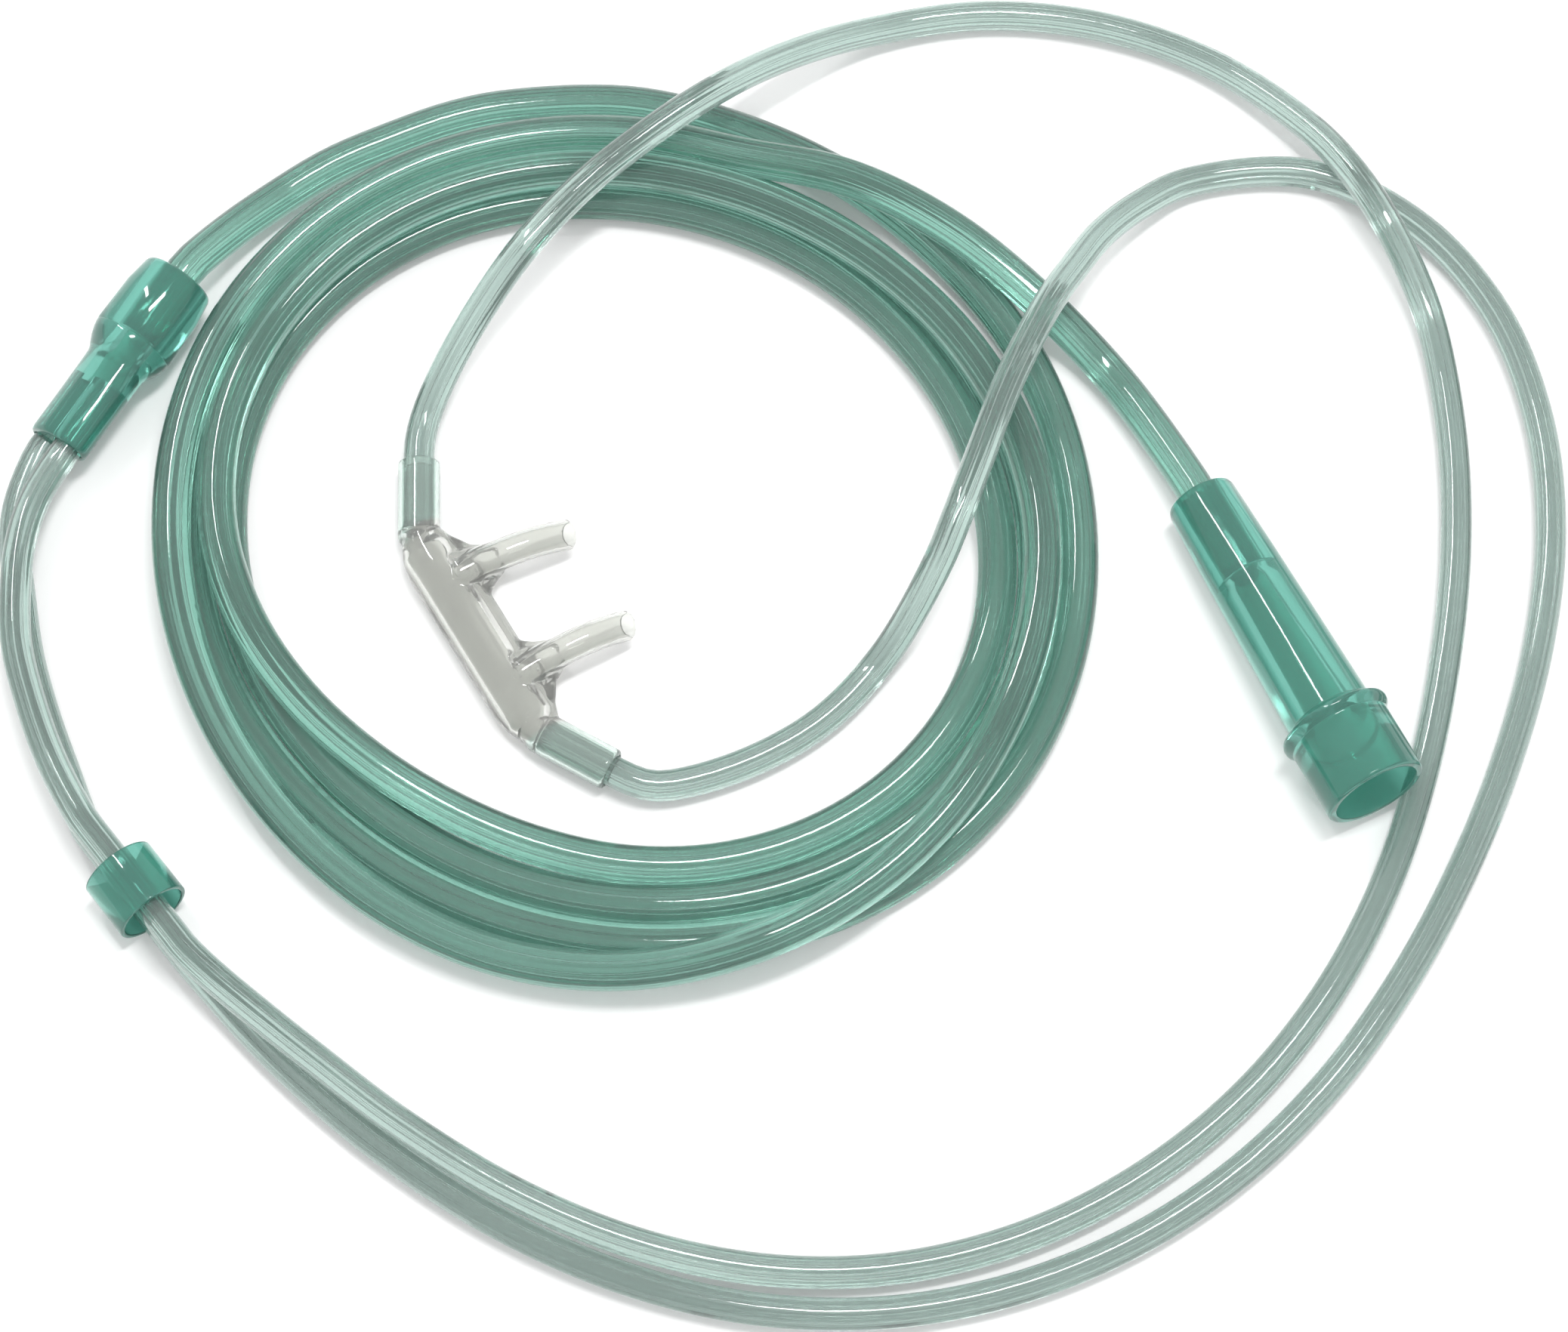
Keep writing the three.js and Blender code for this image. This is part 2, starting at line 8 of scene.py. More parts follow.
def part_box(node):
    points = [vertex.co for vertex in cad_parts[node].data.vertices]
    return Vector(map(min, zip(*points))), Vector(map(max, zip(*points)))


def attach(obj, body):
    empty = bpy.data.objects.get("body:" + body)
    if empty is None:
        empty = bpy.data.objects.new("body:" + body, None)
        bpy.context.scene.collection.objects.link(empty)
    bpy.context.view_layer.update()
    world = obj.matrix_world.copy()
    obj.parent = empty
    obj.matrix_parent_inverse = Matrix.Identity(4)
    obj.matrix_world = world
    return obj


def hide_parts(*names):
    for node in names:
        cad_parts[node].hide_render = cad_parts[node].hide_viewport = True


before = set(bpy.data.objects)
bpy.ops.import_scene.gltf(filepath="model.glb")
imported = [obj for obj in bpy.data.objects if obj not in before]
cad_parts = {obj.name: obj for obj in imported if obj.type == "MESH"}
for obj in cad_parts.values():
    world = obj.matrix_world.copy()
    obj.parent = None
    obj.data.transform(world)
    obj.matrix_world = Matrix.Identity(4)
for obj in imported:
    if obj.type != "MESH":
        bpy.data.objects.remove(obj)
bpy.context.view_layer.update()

# The table and the camera above it. Every place below is written in millimetres from the middle of
# the table in the picture, and the coil of supply tube says where that middle is in the frame.
coil_low, coil_high = (Vector(corner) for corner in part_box("supply_tube_coil"))
coil_middle = Vector((-24.5, 21.0, 0.0))
table_middle = (coil_low + coil_high) / 2 - coil_middle / 1000
table_middle.z = 0.0
on_table = Matrix.Translation(table_middle) @ Matrix.Scale(0.001, 4)

camera = bpy.data.objects.new("camera", bpy.data.cameras.new("camera"))
bpy.context.collection.objects.link(camera)
camera.data.sensor_width = 36.0
camera.data.lens = 104.05
camera.location = on_table @ Vector((0.0, -269.2, 666.3))
camera.rotation_euler = (math.radians(22.0), 0.0, 0.0)
bpy.context.scene.camera = camera


class Socket:
    """An output in a material's node tree, so that shader maths reads as an expression."""

    def __init__(self, tree, output=None):
        self.tree = tree
        self.output = output

    def node(self, kind, settings, values, output=0):
        """Adds a node: its settings first, then the values or links of its inputs."""
        added = self.tree.nodes.new(kind)
        for name, setting in settings.items():
            setattr(added, name, setting)
        for name, value in values.items():
            if isinstance(value, Socket):
                self.tree.links.new(value.output, added.inputs[name])
            else:
                added.inputs[name].default_value = value
        return Socket(self.tree, added.outputs[output]) if added.outputs else None

    def maths(self, operation, first, second):
        return self.node("ShaderNodeMath", {"operation": operation}, {0: first, 1: second})

    def __add__(self, other):
        return self.maths("ADD", self, other)

    def __mul__(self, other):
        return self.maths("MULTIPLY", self, other)

    __radd__ = __add__
    __rmul__ = __mul__


def blank_material(name):
    material = bpy.data.materials.new(name)
    material.use_nodes = True
    material.node_tree.nodes.clear()
    return material, Socket(material.node_tree)


floor_mesh = bmesh.new()
bmesh.ops.create_grid(floor_mesh, x_segments=1, y_segments=1, size=3.0)
bmesh.ops.translate(floor_mesh, vec=(0.0, 0.0, -0.0002), verts=floor_mesh.verts)
table_top = bpy.data.objects.new("table_top", bpy.data.meshes.new("table_top"))
floor_mesh.to_mesh(table_top.data)
floor_mesh.free()
bpy.context.collection.objects.link(table_top)
white, make = blank_material("white_table")
make.node("ShaderNodeOutputMaterial", {}, {
    "Surface": make.node("ShaderNodeBsdfPrincipled", {}, {
        "Base Color": (0.93, 0.93, 0.93, 1.0), "Roughness": 0.9, "Specular IOR Level": 0.0,
        "Emission Color": (1.0, 1.0, 1.0, 1.0), "Emission Strength": 0.12,
    }),
})
table_top.data.materials.append(white)

world = bpy.data.worlds.new("studio")
bpy.context.scene.world = world
world.use_nodes = True
world.node_tree.nodes["Background"].inputs["Color"].default_value = (1.0, 1.0, 1.0, 1.0)
world.node_tree.nodes["Background"].inputs["Strength"].default_value = 0.8


def softbox(name, place, aim, size, power):
    lamp = bpy.data.objects.new(name, bpy.data.lights.new(name, "AREA"))
    bpy.context.collection.objects.link(lamp)
    lamp.data.shape = "RECTANGLE"
    lamp.data.size, lamp.data.size_y = size
    lamp.data.energy = power
    lamp.location = place
    lamp.rotation_euler = (Vector(aim) - Vector(place)).to_track_quat("-Z", "Y").to_euler()


softbox("lamp_over", (0.16, 0.10, 1.15), (0.0, 0.0, 0.0), (0.14, 0.42), 6.5)
softbox("lamp_left", (-0.45, 0.55, 0.95), (0.0, 0.0, 0.0), (0.06, 0.4), 2.6)

bpy.context.scene.view_settings.view_transform = "Standard"
bpy.context.scene.cycles.max_bounces = 10
bpy.context.scene.cycles.transmission_bounces = 10
bpy.context.scene.cycles.transparent_max_bounces = 16
bpy.context.scene.cycles.use_denoising = True


# Ear tubes: two lengths of soft PVC tubing, 5 mm outside, extruded with a star-shaped lumen and
# bonded into the facepiece's sleeves and the Y connector. They lie over the coil and round it.
def laid(at, heading, tilt, roll):
    """From a fitting's own millimetres to where it lies on the table, in metres."""
    turn = Matrix.Rotation(math.radians(heading), 4, "Z")
    turn = turn @ Matrix.Rotation(-tilt, 4, "Y") @ Matrix.Rotation(math.radians(roll), 4, "X")
    return on_table @ Matrix.Translation(at) @ turn


tube_lead, floor_gap = 2.5, 0.3


def socket_run(place, start, along, hidden, mouth):
    """A tube's straight run from its hidden end to just past the socket's mouth."""
    stops = (hidden, (hidden + mouth) / 2, mouth, mouth + tube_lead)
    return [place @ (start + along * stop) for stop in stops]


facepiece_place = laid((-48.25, 4.2, 0.0), -59.0, 0.0, 0.0)
body_length, body_axis_height = 39.0, 3.3
sleeve_length, sleeve_depth, sleeve_angle = 13.0, 12.4, math.radians(29.5)
y_length, y_ear_floor, y_ear_bore_spacing = 34.0, 22.0, 6.0
y_widest_at, y_widest_radius = 13.5, 6.9
y_tilt = math.radians(-4.5)
y_rest = y_widest_radius * math.cos(y_tilt) - y_widest_at * math.sin(y_tilt)
y_place = laid((-98.1, 64.6, y_rest), -123.0, y_tilt, 38.0)
slider_half, slider_radius, slider_travel = 4.75, 6.0, 6.0
slider_place = laid((-99.9, -39.6, slider_radius), -51.5, 0.0, 0.0)


ear_radius, ear_lumen, ear_flute, ear_tube_level = 2.5, 1.45, 0.34, 2.55


def sleeve_line(side):
    """Where a sleeve's axis starts and which way it runs, in the facepiece's millimetres."""
    start = Vector((side * body_length / 2, 0.0, body_axis_height))
    along = Vector((side * math.cos(sleeve_angle), math.sin(sleeve_angle), 0.0))
    return start, along


def slider_run(side):
    """The straight stretch that the slider travels on, with one tube above the other."""
    straight = slider_half + slider_travel
    stops = (straight + tube_lead, straight, -straight, -straight - tube_lead)
    return [slider_place @ Vector((stop, 0.0, side * ear_tube_level)) for stop in stops]


def ear_route(side, from_facepiece, to_y):
    """Left is side 1 at the Y connector, and leaves the facepiece at its side -1."""
    start, along = sleeve_line(-side)
    sleeve_end = sleeve_length - sleeve_depth + floor_gap
    at_y = Vector((0.0, side * y_ear_bore_spacing / 2, 0.0))
    y_end = y_ear_floor + floor_gap
    return [
        *socket_run(facepiece_place, start, along, sleeve_end, sleeve_length),
        *(on_table @ Vector(point) for point in from_facepiece),
        *slider_run(side),
        *(on_table @ Vector(point) for point in to_y),
        *reversed(socket_run(y_place, at_y, Vector((1.0, 0.0, 0.0)), y_end, y_length)),
    ]


left_ear_route = ear_route(1, [
    (-57.9, 41.4, 3.6), (-55.2, 47.8, 5.8), (-49.6, 56.1, 11.3), (-42.1, 65.6, 16.2),
    (-33.1, 76.3, 16.8), (-22.4, 86.2, 16.7), (-11.0, 94.8, 16.5), (0.5, 104.1, 11.0),
    (13.6, 112.3, 4.3), (33.3, 116.5, 2.7), (53.3, 114.4, 2.7), (71.7, 106.9, 3.0),
    (86.7, 93.4, 6.2), (92.6, 85.1, 7.9), (97.5, 76.6, 7.9), (102.2, 67.3, 5.4),
    (105.3, 58.4, 3.4), (107.7, 38.8, 2.6), (107.2, 18.8, 2.6), (104.3, -1.0, 2.6),
    (99.5, -20.5, 2.6), (92.5, -39.1, 2.6), (82.7, -56.4, 2.6), (69.9, -71.8, 2.6),
    (54.2, -84.4, 2.6), (36.4, -93.5, 2.6), (17.1, -98.4, 2.6), (-2.7, -98.8, 3.0),
    (-22.3, -94.9, 3.9), (-41.0, -87.2, 5.0), (-58.2, -76.8, 6.3), (-70.9, -67.3, 7.4),
    (-80.3, -59.9, 8.1), (-87.3, -54.1, 8.5),
], [
    (-113.6, -19.5, 7.9), (-117.8, -9.0, 7.8), (-120.6, 1.0, 7.9), (-121.3, 11.0, 7.9),
    (-120.9, 18.5, 7.9), (-119.3, 25.5, 7.5),
])
right_ear_route = ear_route(-1, [
    (-20.4, -21.4, 3.0), (-14.0, -20.4, 2.7), (-3.1, -16.2, 2.6), (6.9, -9.6, 2.6),
    (16.2, 0.8, 3.8), (24.1, 11.9, 13.8), (27.2, 19.0, 16.3), (30.2, 27.1, 16.6),
    (35.7, 42.1, 16.7), (41.9, 55.3, 16.5), (46.7, 64.1, 12.8), (51.9, 72.7, 8.5),
    (58.8, 79.9, 5.0), (67.2, 85.2, 2.7), (87.1, 86.6, 2.6), (104.3, 77.0, 2.6),
    (116.2, 60.9, 2.6), (121.9, 41.6, 2.6), (122.5, 21.5, 2.6), (119.2, 1.8, 2.6),
    (113.1, -17.3, 2.6), (105.0, -35.7, 2.6), (95.1, -53.2, 2.6), (83.3, -69.3, 2.6),
    (69.0, -83.3, 2.6), (52.2, -94.4, 2.6), (33.5, -101.9, 2.6), (13.7, -105.3, 2.6),
    (-6.1, -104.4, 2.6), (-25.5, -99.4, 2.6), (-43.8, -91.0, 2.6), (-60.7, -79.9, 2.6),
    (-73.1, -69.6, 2.9), (-81.7, -61.2, 3.2), (-87.7, -54.5, 3.4),
], [
    (-112.6, -18.7, 2.8), (-116.4, -9.0, 2.6), (-119.5, 1.0, 2.6), (-121.5, 11.5, 2.7),
    (-122.8, 19.5, 2.8), (-122.6, 26.5, 3.0),
])


def smooth_line(points, step):
    """An even line of short steps on the smooth curve through the points, and its length."""
    ends = [2 * points[0] - points[1], *points, 2 * points[-1] - points[-2]]
    fine, fine_steps = [], 24
    for a, b, c, d in zip(ends, ends[1:], ends[2:], ends[3:]):
        before, here, after = (math.sqrt((q - p).length) for p, q in ((a, b), (b, c), (c, d)))
        leave = c - b + here * ((b - a) / before - (c - a) / (before + here))
        reach = c - b + here * ((d - c) / after - (d - b) / (here + after))
        for i in range(fine_steps):
            t = i / fine_steps
            bend = t * t * (3 * (c - b) - 2 * leave - reach) + t**3 * (2 * (b - c) + leave + reach)
            fine.append(b + t * leave + bend)
    fine.append(points[-1])
    length = sum((b - a).length for a, b in zip(fine, fine[1:]))
    count = round(length / step)
    line, walked, wanted = [fine[0]], 0.0, length / count
    for a, b in zip(fine, fine[1:]):
        stretch = (b - a).length
        while walked + stretch >= wanted * len(line) and len(line) < count:
            line.append(a.lerp(b, (wanted * len(line) - walked) / stretch))
        walked += stretch
    return [*line, fine[-1]], length


def draw_tube(name, line, radius, lumen, flute):
    """A tube drawn along a line: its wall between a round outside and a star-shaped lumen."""
    section = bpy.data.curves.new(name + "_section", "CURVE")
    section.dimensions = "2D"
    round_points, flutes = 24, 6
    for reach, wave in ((radius, 0.0), (lumen, flute)):
        ring = section.splines.new("POLY")
        ring.points.add(round_points - 1)
        for k, point in enumerate(ring.points):
            angle = 2 * math.pi * k / round_points
            r = (reach + wave * math.cos(flutes * angle)) / 1000
            point.co = (r * math.cos(angle), r * math.sin(angle), 0.0, 1.0)
        ring.use_cyclic_u = True
    die = bpy.data.objects.new(name + "_section", section)
    path = bpy.data.curves.new(name + "_line", "CURVE")
    path.dimensions = "3D"
    path.bevel_mode = "OBJECT"
    path.bevel_object = die
    spline = path.splines.new("POLY")
    spline.points.add(len(line) - 1)
    for point, place in zip(spline.points, line):
        point.co = (*place, 1.0)
    drawn = bpy.data.objects.new(name + "_line", path)
    bpy.context.collection.objects.link(die)
    bpy.context.collection.objects.link(drawn)
    bpy.context.view_layer.update()
    wall = bmesh.new()
    wall.from_mesh(drawn.evaluated_get(bpy.context.evaluated_depsgraph_get()).to_mesh())
    for used in (drawn, die):
        bpy.data.objects.remove(used)
    rims = [edge for edge in wall.edges if edge.is_boundary]
    for end in (line[0], line[-1]):
        near = [edge for edge in rims if (edge.verts[0].co - end).length < 2 * radius / 1000]
        bmesh.ops.bridge_loops(wall, edges=near)
    bmesh.ops.recalc_face_normals(wall, faces=wall.faces)
    for face in wall.faces:
        face.smooth = True
    tube = bpy.data.objects.new(name, bpy.data.meshes.new(name))
    wall.to_mesh(tube.data)
    wall.free()
    bpy.context.collection.objects.link(tube)
    return tube


def soft_pvc(name, colour, transmission, roughness, bonded=None):
    """Glossy plasticised PVC: clear or tinted through, faintly uneven from extrusion or moulding.

    Bonded is where green tubes fill the sleeves: a middle, a direction and how far out they start.
    """
    material, make = blank_material(name)
    place = make.node("ShaderNodeTexCoord", {}, {}, "Object")
    cloud = make.node("ShaderNodeTexNoise", {}, {
        "Vector": place, "Scale": 90.0, "Detail": 2.0, "Roughness": 0.5,
    }, "Fac")
    grain = make.node("ShaderNodeTexNoise", {}, {
        "Vector": place, "Scale": 420.0, "Detail": 1.0, "Roughness": 0.5,
    }, "Fac")
    tint = make.node("ShaderNodeMix", {"data_type": "RGBA"}, {
        "Factor": cloud,
        6: (*colour, 1.0),
        7: (*(0.94 * channel for channel in colour), 1.0),
    }, 2)
    if bonded:
        middle, direction, start = bonded
        away = make.node("ShaderNodeVectorMath", {"operation": "SUBTRACT"}, {0: place, 1: middle})
        along = make.node(
            "ShaderNodeVectorMath", {"operation": "DOT_PRODUCT"}, {0: away, 1: direction}, "Value")
        filled = make.node("ShaderNodeMapRange", {}, {
            "Value": make.maths("ABSOLUTE", along, 0.0), "From Min": start, "From Max": start + 0.0006,
        })
        tint = make.node("ShaderNodeMix", {"data_type": "RGBA"}, {
            "Factor": filled, 6: tint, 7: (0.81, 0.93, 0.88, 1.0),
        }, 2)
    skin = make.node("ShaderNodeBump", {}, {
        "Strength": 0.16, "Distance": 0.0004, "Height": 0.75 * cloud + 0.25 * grain,
    })
    surface = make.node("ShaderNodeBsdfPrincipled", {}, {
        "Base Color": tint,
        "Roughness": roughness * 0.8 + roughness * 0.5 * grain,
        "IOR": 1.53,
        "Transmission Weight": transmission,
        "Normal": skin,
    })
    make.node("ShaderNodeOutputMaterial", {}, {"Surface": surface})
    return material


ear_pvc = soft_pvc("ear_tube_pvc", (0.735, 0.84, 0.805), 0.93, 0.05)
for name, route in (("ear_tube_left", left_ear_route), ("ear_tube_right", right_ear_route)):
    line, length = smooth_line(route, 0.0022)
    tube = draw_tube(name + "_drawn", line, ear_radius, ear_lumen, ear_flute)
    tube.data.materials.append(ear_pvc)
    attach(tube, "tubing")
    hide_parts(name)
    line[::3] + line[-1:]


# Supply tube: one length of the same soft PVC, 6.3 mm outside, from the Y connector to the supply
# connector. It keeps the coil that it was packed in, a little over four turns beside and on each other.
connector_end_radius, connector_flange_radius, connector_flange_at = 5.75, 9.1, 44.0
connector_tilt = math.asin((connector_flange_radius - connector_end_radius) / connector_flange_at)
connector_rest = connector_end_radius * math.cos(connector_tilt)
connector_place = laid((66.3, 26.8, connector_rest), -64.2, connector_tilt, 0.0)
y_supply_floor, connector_supply_floor = 12.0, 16.0
supply_radius, supply_lumen, supply_flute = 3.15, 1.85, 0.44

# Turns since the coil's start, and how far across the bundle the tube lies there, in lanes from
# the middle: -1.5 at the inside, 1.5 at the outside, and more where a tail leaves the bundle.
steps_per_turn = 24
step = 1 / steps_per_turn
coil_lanes = [
    (-2 * step, 2.0), (-step, 1.88), (0.0, 1.6), (step, 1.42), (2 * step, 1.28), (0.25, 0.9),
    (0.5, 0.5), (0.75, 0.5), (1.0, 0.0), (1.25, -0.1), (1.5, -0.5), (1.75, -0.5), (2.0, -1.0),
    (2.25, -1.1), (2.5, -1.5), (2.75, -0.25), (3.0, -0.5), (3.25, 0.0), (3.5, 1.5), (3.75, 0.75),
    (4.0, 0.5), (4 + step, 1.1), (4 + 2 * step, 1.56), (4 + 3 * step, 2.21),
]
coil_radius, coil_start_angle, lane_width = 66.0, 75.0, 6.4


def lane_at(turn):
    for (t0, lane0), (t1, lane1) in zip(coil_lanes, coil_lanes[1:]):
        if turn <= t1 + 1e-9:
            share = (turn - t0) / (t1 - t0)
            return lane0 + (lane1 - lane0) * share * share * (3 - 2 * share)
    return coil_lanes[-1][1]


turns = [k / steps_per_turn for k in range(-2, 4 * steps_per_turn + 4)]
rims, angles = [], []
for turn in turns:
    angle = math.radians(coil_start_angle - 360.0 * turn)
    oval = 2.4 * math.cos(2 * (angle - math.radians(140)))
    egg = 1.2 * math.cos(angle - math.radians(150))
    angles.append(angle)
    rims.append(coil_radius + oval + egg + lane_width * lane_at(turn))

# Each turn rests on the table or on the turns that it crosses, and eases up and down between them.
heights = [supply_radius] * len(turns)
for settle in range(4):
    for k, rim in enumerate(rims):
        for below in range(k - steps_per_turn, -1, -steps_per_turn):
            apart = abs(rim - rims[below])
            if apart < 2 * supply_radius:
                lift = math.sqrt(4 * supply_radius**2 - apart**2)
                heights[k] = max(heights[k], heights[below] + lift)
    if settle < 3:
        spread = [heights[0], *heights, heights[-1]]
        heights = [
            max(supply_radius, (a + 2 * b + c) / 4)
            for a, b, c in zip(spread, spread[1:], spread[2:])
        ]
coil_points = [
    on_table @ (coil_middle + Vector((rim * math.cos(angle), rim * math.sin(angle), height)))
    for rim, angle, height in zip(rims, angles, heights)
]


def supply_socket_run(place, floor):
    """The supply tube's straight run out of a fitting, whose axis points into the fitting."""
    depth = floor - floor_gap
    return socket_run(place, Vector((depth, 0.0, 0.0)), Vector((-1.0, 0.0, 0.0)), 0.0, depth)


supply_route = [
    *supply_socket_run(y_place, y_supply_floor),
    *(on_table @ Vector(point) for point in (
        (-90.6, 74.4, 5.6), (-83.9, 80.9, 3.9), (-74.6, 87.8, 3.3), (-64.9, 92.6, 3.15),
        (-54.9, 96.6, 3.15),
    )),
    *coil_points,
    *(on_table @ Vector(point) for point in ((53.0, 49.6, 3.15), (57.8, 42.4, 3.7))),
    *reversed(supply_socket_run(connector_place, connector_supply_floor)),
]
line, length = smooth_line(supply_route, 0.0026)
supply_pvc = soft_pvc("supply_tube_pvc", (0.54, 0.79, 0.715), 0.93, 0.05)
supply_tube = draw_tube("supply_tube_drawn", line, supply_radius, supply_lumen, supply_flute)
supply_tube.data.materials.append(supply_pvc)
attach(supply_tube, "tubing")
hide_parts("supply_tube_inlet", "supply_tube_coil", "supply_tube_outlet")
line[::3] + line[-1:]

# Facepiece: one soft clear PVC moulding. A hollow channel runs between two angled sleeves that hold
# the ear tubes, and two thin-walled curved prongs grow out of it through a web with wide fillets.
def section(centre, along, half_width, half_height):
    """The matrix that lays a unit circle across a bar, as one of its oval sections."""
    along = Vector(along).normalized()
    across = Vector((0.0, 0.0, 1.0)).cross(along).normalized()
    turn = Matrix((across, along.cross(across), along)).transposed().to_4x4()
    return Matrix.Translation(centre) @ turn @ Matrix.Diagonal((half_width, half_height, 1.0, 1.0))


def bar(sections, segments):
    """A closed bar, drawn out from one section to the next."""
    shape = bmesh.new()
    bmesh.ops.create_circle(
        shape, cap_ends=True, segments=segments, radius=1.0, matrix=sections[0])
    rim = list(shape.edges)
    for before, here in zip(sections, sections[1:]):
        drawn = bmesh.ops.extrude_edge_only(shape, edges=rim)["geom"]
        rim = [part for part in drawn if isinstance(part, bmesh.types.BMEdge)]
        corners = [part for part in drawn if isinstance(part, bmesh.types.BMVert)]
        bmesh.ops.transform(shape, matrix=here @ before.inverted(), verts=corners)
    bmesh.ops.edgeloop_fill(shape, edges=rim)
    bmesh.ops.recalc_face_normals(shape, faces=shape.faces)
    return shape


def piece(name, *shapes):
    """One object from one or more shapes."""
    whole = bmesh.new()
    for shape in shapes:
        part = bpy.data.meshes.new(name)
        shape.to_mesh(part)
        shape.free()
        whole.from_mesh(part)
        bpy.data.meshes.remove(part)
    made = bpy.data.objects.new(name, bpy.data.meshes.new(name))
    whole.to_mesh(made.data)
    whole.free()
    bpy.context.collection.objects.link(made)
    return made


def melt(thing, voxel, rounds):
    """Fuses overlapping shapes into one skin and rounds it off."""
    fuse = thing.modifiers.new("fuse", "REMESH")
    fuse.mode = "VOXEL"
    fuse.voxel_size = voxel
    ease = thing.modifiers.new("ease", "SMOOTH")
    ease.factor = 0.5
    ease.iterations = rounds


def finished(thing, hollows, place, material, sharp=35.0):
    """Cuts the hollows out, lays the piece in its place and smooths it up to its sharp edges."""
    for hollow in hollows:
        cut = thing.modifiers.new("cut", "BOOLEAN")
        cut.operation = "DIFFERENCE"
        cut.solver = "EXACT"
        cut.object = hollow
    bpy.context.view_layer.update()
    whole = bmesh.new()
    whole.from_mesh(thing.evaluated_get(bpy.context.evaluated_depsgraph_get()).to_mesh())
    thing.modifiers.clear()
    for hollow in hollows:
        bpy.data.objects.remove(hollow)
    bmesh.ops.transform(whole, matrix=place, verts=whole.verts)
    for face in whole.faces:
        face.smooth = True
    for edge in whole.edges:
        edge.smooth = edge.calc_face_angle(0.0) < math.radians(sharp)
    whole.to_mesh(thing.data)
    whole.free()
    thing.data.materials.clear()
    thing.data.materials.append(material)


clear = soft_pvc(
    "clear_pvc", (0.875, 0.885, 0.85), 0.87, 0.05,
    (facepiece_place @ Vector((0.0, 0.0, body_axis_height)),
     facepiece_place.to_3x3() @ Vector((1000.0, 0.0, 0.0)), 0.0200))
sleeve_bore, sleeve_wall = 2.7, 0.7
sleeve_radius = sleeve_bore + sleeve_wall
channel_radius = 2.1
prong_spacing, prong_length, prong_root_height = 19.8, 18.6, 4.2
prong_tip_radius, prong_wall, prong_steps = 2.5, 0.6, 12
prong_rise, prong_fall = 26.0, 30.0


def prong_line(side, lean):
    """The prong rises from the web and curves down again towards its tip."""
    point = Vector((side * prong_spacing / 2, 3.0, prong_root_height))
    points = [point.copy()]
    for i in range(prong_steps):
        slope = math.radians(prong_rise - (prong_rise + prong_fall) * (i + 0.5) / prong_steps)
        reach = math.cos(slope)
        point += prong_length / prong_steps * Vector(
            (reach * math.sin(lean), reach * math.cos(lean), math.sin(slope)))
        points.append(point.copy())
    return points


def along_line(points, widths):
    """A section at each point, square to the line there."""
    ends = [points[0], *points, points[-1]]
    return [
        section(here, after - before, width, width)
        for before, here, after, width in zip(ends, points, ends[2:], widths)
    ]


half = body_length / 2
body = bar([
    section((x, y, body_axis_height), (1, 0, 0), width, height) for x, y, width, height in (
        (-half - 1.6, 0.5, 2.2, 2.2), (-half, 0.2, 3.3, 3.3), (-half + 3, 0.0, 4.5, 3.6),
        (-half + 6, 0.0, 5.0, 3.8), (half - 6, 0.0, 5.0, 3.8), (half - 3, 0.0, 4.5, 3.6),
        (half, 0.2, 3.3, 3.3), (half + 1.6, 0.5, 2.2, 2.2),
    )
], 48)
web_edge = [
    (0.0, 3.3), (2.0, 3.6), (3.6, 4.2), (5.0, 5.2), (6.2, 6.9), (7.0, 8.8), (8.2, 9.4), (11.4, 9.4),
    (12.6, 8.0), (13.6, 6.4), (15.5, 5.2), (17.5, 3.8), (18.6, 2.4),
]
web_edge = [(-x, reach) for x, reach in reversed(web_edge[1:])] + web_edge
web = bar([
    section((x, reach - 2.2, prong_root_height - 0.2), (1, 0, 0), 2.2, 1.5)
    for x, reach in web_edge
], 24)
skins, bores = [body, web], [bar([
    section((x, -0.4, body_axis_height), (1, 0, 0), width, height) for x, width, height in (
        (-half + 0.8, 1.2, 1.0), (-half + 1.4, 2.2, 1.8), (-half + 3.0, 3.1, 2.3),
        (half - 3.0, 3.1, 2.3), (half - 1.4, 2.2, 1.8), (half - 0.8, 1.2, 1.0),
    )
], 32)]
for side, lean in ((-1, math.radians(8.1)), (1, math.radians(3.4))):
    start, along = sleeve_line(side)
    mouth = start + along * sleeve_length
    stop = mouth - along * sleeve_depth
    skins.append(bar([
        section(start + along * d, along, r, r) for d, r in (
            (-1.2, sleeve_radius - 0.4), (0.0, sleeve_radius), (sleeve_length - 0.4, sleeve_radius),
            (sleeve_length, sleeve_radius - 0.15),
        )
    ], 40))
    bores.append(bar(along_line([stop, mouth + along], [sleeve_bore] * 2), 40))
    bores.append(bar(along_line([start - along * 2.5, stop + along], [channel_radius] * 2), 32))
    line = prong_line(side, lean)
    flare = [4.2, 3.5, 2.95, 2.65]
    flare += [prong_tip_radius] * (len(line) - len(flare))
    skins.append(bar(along_line(line, flare), 40))
    past_tip = 2 * line[-1] - line[-2]
    bore_line = [Vector((line[0].x, 0.0, body_axis_height)), *line[1:], past_tip]
    bore_widths = [prong_tip_radius - prong_wall] * len(bore_line)
    bores.append(bar(along_line(bore_line, bore_widths), 32))
facepiece = piece("facepiece_moulding", *skins)
melt(facepiece, 0.3, 7)
hollow = piece("facepiece_hollow", *bores)
melt(hollow, 0.3, 3)
underside = bmesh.new()
bmesh.ops.create_cube(underside, size=1.0)
bmesh.ops.scale(underside, vec=(120.0, 120.0, 4.0), verts=underside.verts)
bmesh.ops.translate(underside, vec=(0.0, 0.0, -2.0), verts=underside.verts)
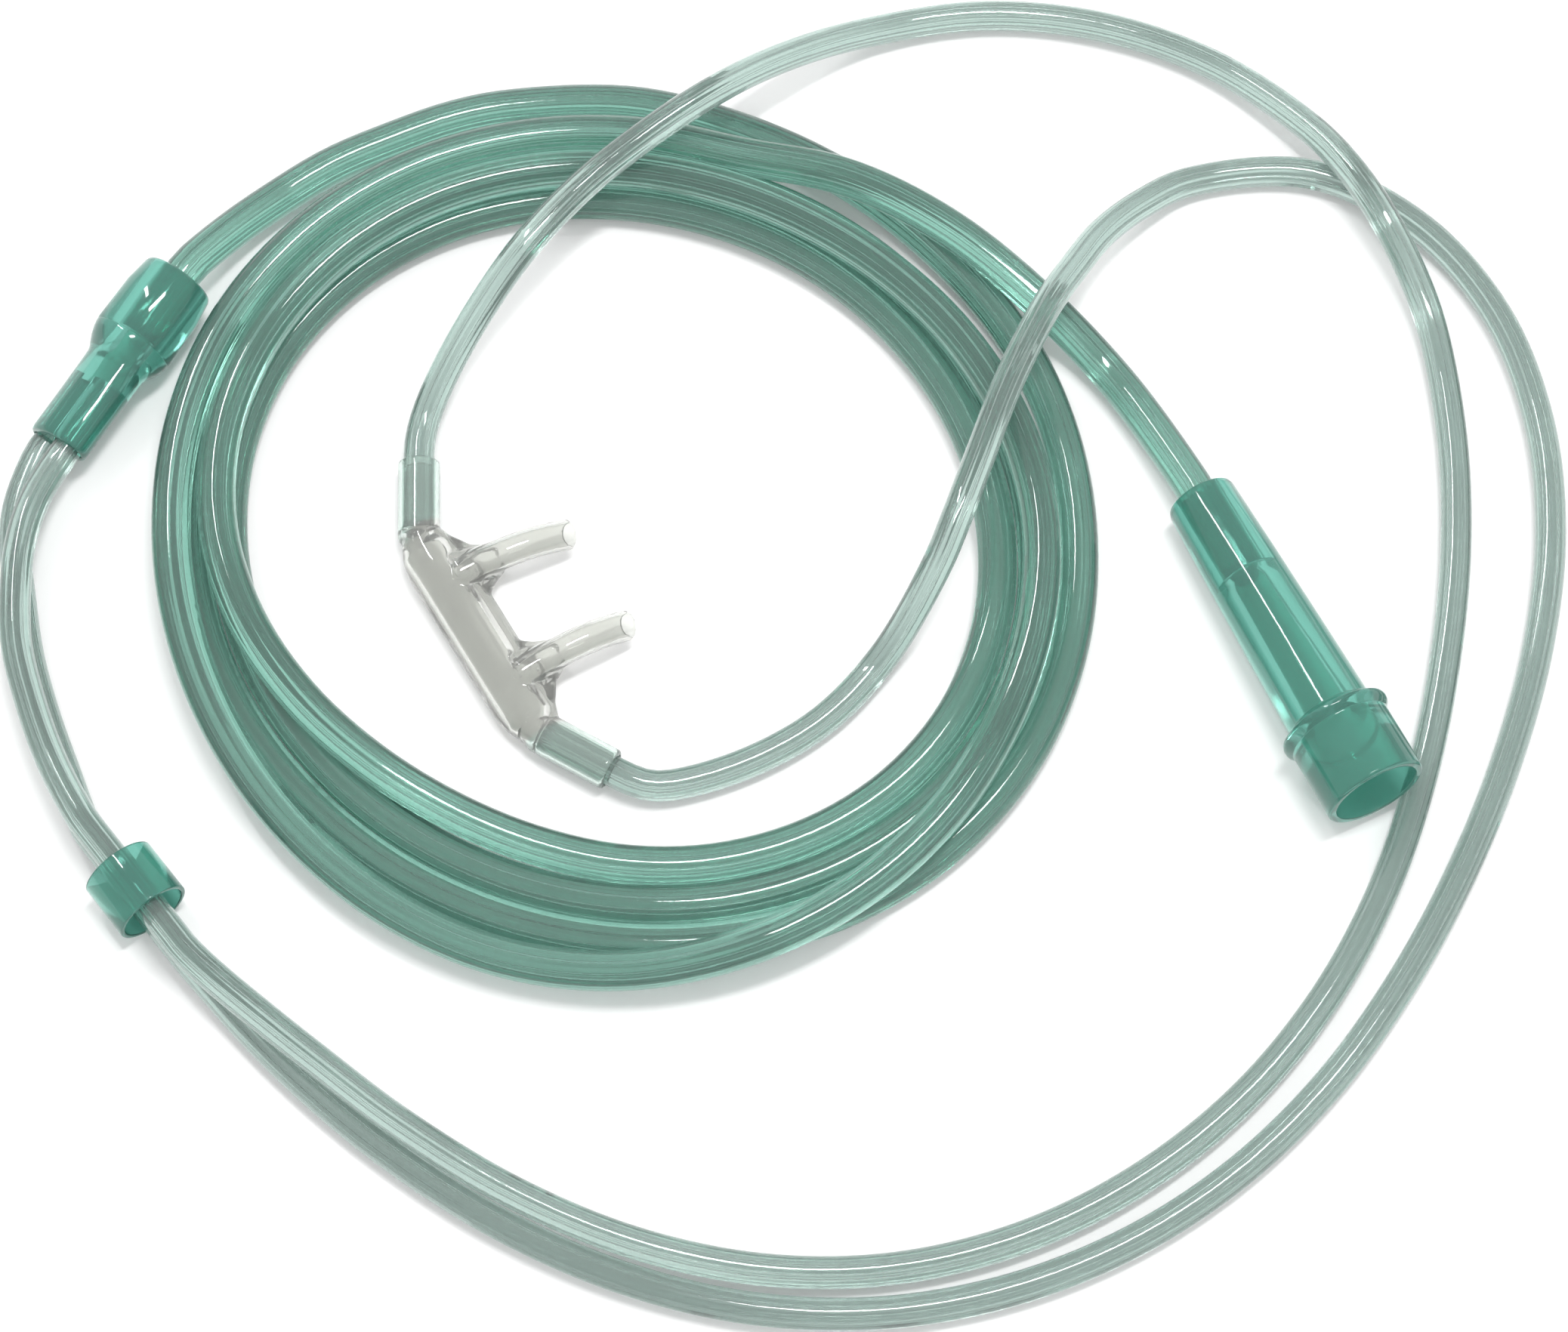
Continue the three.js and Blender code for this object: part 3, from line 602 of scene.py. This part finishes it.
finished(facepiece, [piece("facepiece_underside", underside), hollow], facepiece_place, clear)
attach(facepiece, "tubing")
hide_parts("facepiece")


# Y connector: one moulding of deep green PVC. A round barrel takes the supply tube, and an oval neck
# with two bores takes the ear tubes; a parting line runs round the shoulder between them.
green = soft_pvc("green_pvc", (0.20, 0.57, 0.475), 0.80, 0.07)

y_outside = bar([
    section((x, 0.0, 0.0), (1, 0, 0), width, height) for x, width, height in (
        (0.0, 5.5, 5.5), (0.25, 5.9, 5.9), (0.8, 6.15, 6.15), (5.0, 6.75, 6.75),
        (13.0, y_widest_radius, y_widest_radius), (13.25, 6.75, 6.75), (13.5, 6.85, 6.85),
        (14.6, 6.75, 6.55), (15.8, 6.6, 6.0), (16.8, 6.45, 5.3), (17.5, 6.32, 4.75),
        (18.2, 6.3, 4.5), (26.0, 6.3, 4.4), (33.2, 6.3, 4.4), (33.8, 6.15, 4.25),
        (y_length, 5.9, 4.0),
    )
], 64)
supply_bore, ear_bore = 3.35, 2.7
y_hollows = [
    bar([
        section((x, 0, 0), (1, 0, 0), supply_bore, supply_bore) for x in (-1.0, y_supply_floor)
    ], 40),
    bar([
        section((x, 0, 0), (1, 0, 0), width, height) for x, width, height in (
            (y_supply_floor - 1.0, 2.2, 2.2), (15.5, 3.2, 2.0), (y_ear_floor + 1.0, 4.6, 1.8),
        )
    ], 32),
    *(
        bar([
            section((x, side * y_ear_bore_spacing / 2, 0), (1, 0, 0), ear_bore, ear_bore)
            for x in (y_ear_floor, y_length + 1.0)
        ], 40)
        for side in (-1, 1)
    ),
]
y_connector = piece("y_connector_moulding", y_outside)
finished(
    y_connector, [piece("y_hollow", shape) for shape in y_hollows], y_place, green, sharp=50.0)
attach(y_connector, "tubing")
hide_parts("y_connector")


# Supply connector: one moulding of deep green PVC that flares from the supply tube's end to a thumb
# flange and a collar. Its wide mouth and tapered bore push over the outlet of an oxygen supply.
def turned(outline, steps):
    """A closed outline of (along, radius) pairs, turned about the X axis."""
    shape = bmesh.new()
    corners = [shape.verts.new((along, radius, 0.0)) for along, radius in outline]
    edges = [shape.edges.new(pair) for pair in zip(corners, corners[1:] + corners[:1])]
    bmesh.ops.spin(
        shape, geom=corners + edges, cent=(0, 0, 0), axis=(1, 0, 0), dvec=(0, 0, 0),
        angle=2 * math.pi, steps=steps, use_merge=True)
    bmesh.ops.recalc_face_normals(shape, faces=shape.faces)
    return shape


def eased_edges(shape, width):
    """Rounds the turned edges, as a mould's polished corners leave them."""
    edges = [edge for edge in shape.edges if edge.calc_face_angle(0.0) > math.radians(25.0)]
    bmesh.ops.bevel(
        shape, geom=edges, affect="EDGES", offset=width, segments=3, profile=0.5, material=-1)
    return shape


connector_barrel = [
    (0.0, supply_bore), (0.0, 4.75), (0.35, 5.5), (1.2, connector_end_radius), (14.0, 6.2),
    (28.0, 6.62), (43.2, 7.05),
]
connector_flange = [
    (connector_flange_at, 8.3), (44.4, 9.0), (45.0, connector_flange_radius), (45.6, 8.9),
]
connector_collar = [(46.3, 8.25), (57.7, 8.25), (58.0, 7.95), (58.0, 6.95)]
connector_inside = [
    (45.5, 6.6), (43.0, 3.4), (18.5, 3.1), (17.0, 2.4), (connector_supply_floor, 2.4),
    (connector_supply_floor, supply_bore),
]
connector = piece("supply_connector_moulding", eased_edges(turned(
    connector_barrel + connector_flange + connector_collar + connector_inside, 72), 0.16))
finished(connector, [], connector_place, green, sharp=60.0)
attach(connector, "tubing")
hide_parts("supply_connector")


# Slider: a short moulded ring of the same green PVC. It grips both ear tubes, which lie one on the
# other inside it, and slides along them to take up the slack under the chin.
slider_bore = 5.25
slider = piece("slider_ring", eased_edges(turned([
    (-slider_half, slider_bore), (-slider_half, slider_radius), (slider_half, slider_radius),
    (slider_half, slider_bore),
], 64), 0.22))
finished(slider, [], slider_place, green, sharp=60.0)
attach(slider, "slider")
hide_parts("slider")
